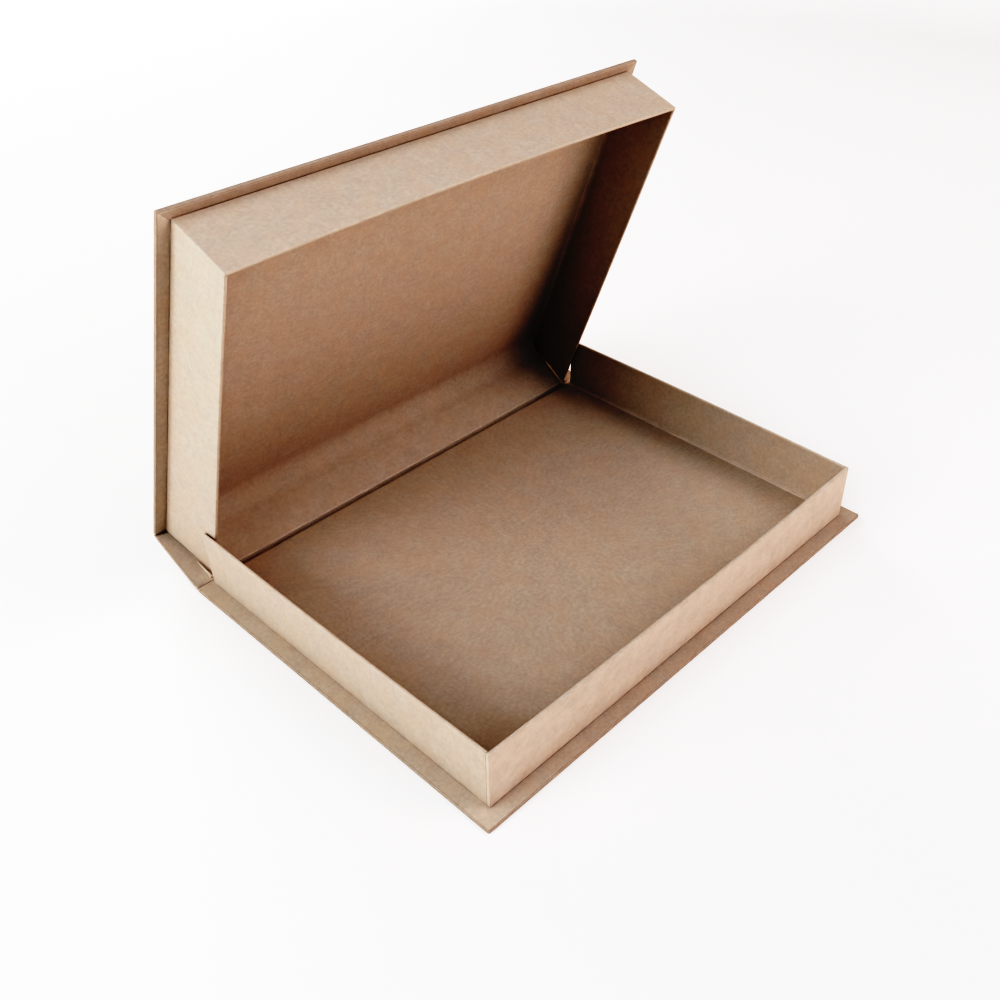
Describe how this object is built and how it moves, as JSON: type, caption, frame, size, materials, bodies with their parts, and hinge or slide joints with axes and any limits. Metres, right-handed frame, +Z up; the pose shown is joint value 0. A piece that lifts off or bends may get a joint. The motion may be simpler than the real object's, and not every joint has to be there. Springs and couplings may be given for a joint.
{
  "type": "clamshell book box",
  "caption": "Kraft-covered rigid box that opens like a book: a base tray and a larger lid tray on a folding three-board case, for A4 papers and keepsakes.",
  "frame": {"origin": "centre of the base leaf's underside, where the box rests", "axes": "+X along the spine, +Y from the front edge to the spine, +Z up"},
  "size_m": [0.325, 0.2782, 0.2415],
  "materials": {
    "greyboard": "matte",
    "kraft_cover": "matte uncoated kraft",
    "kraft_lining": "matte uncoated kraft",
    "stay_tape": "gummed paper tape"
  },
  "bodies": {
    "base": {"base_board": "greyboard", "base_cover_paper": "kraft_cover", "base_hinge_lining": "kraft_lining", "base_tray_floor": "greyboard", "base_tray_floor_lining": "kraft_lining", "base_tray_front_wall": "greyboard", "base_tray_left_corner_stay": "stay_tape", "base_tray_left_wall": "greyboard", "base_tray_right_corner_stay": "stay_tape", "base_tray_right_wall": "greyboard", "base_tray_wrap": "kraft_lining"},
    "spine": {"spine_board": "greyboard", "spine_cover_paper": "kraft_cover", "spine_lining": "kraft_lining", "spine_stiffener": "greyboard", "spine_stiffener_wrap": "kraft_lining"},
    "lid": {"lid_board": "greyboard", "lid_cover_paper": "kraft_cover", "lid_hinge_lining": "kraft_lining", "lid_tray_end_wall": "greyboard", "lid_tray_floor": "greyboard", "lid_tray_floor_lining": "kraft_lining", "lid_tray_left_corner_stay": "stay_tape", "lid_tray_left_wall": "greyboard", "lid_tray_right_corner_stay": "stay_tape", "lid_tray_right_wall": "greyboard", "lid_tray_wrap": "kraft_lining"}
  },
  "joints": [
    {"name": "base_fold", "type": "hinge", "parent": "base", "child": "spine", "pos_m": [0, 0.1194, 0.0012], "axis": [1, 0, 0], "range_deg": [-22.9, 67.1]},
    {"name": "lid_fold", "type": "hinge", "parent": "spine", "child": "lid", "pos_m": [0, 0.15956, 0.01817], "axis": [1, 0, 0], "range_deg": [-86.5, 3.5]}
  ]
}
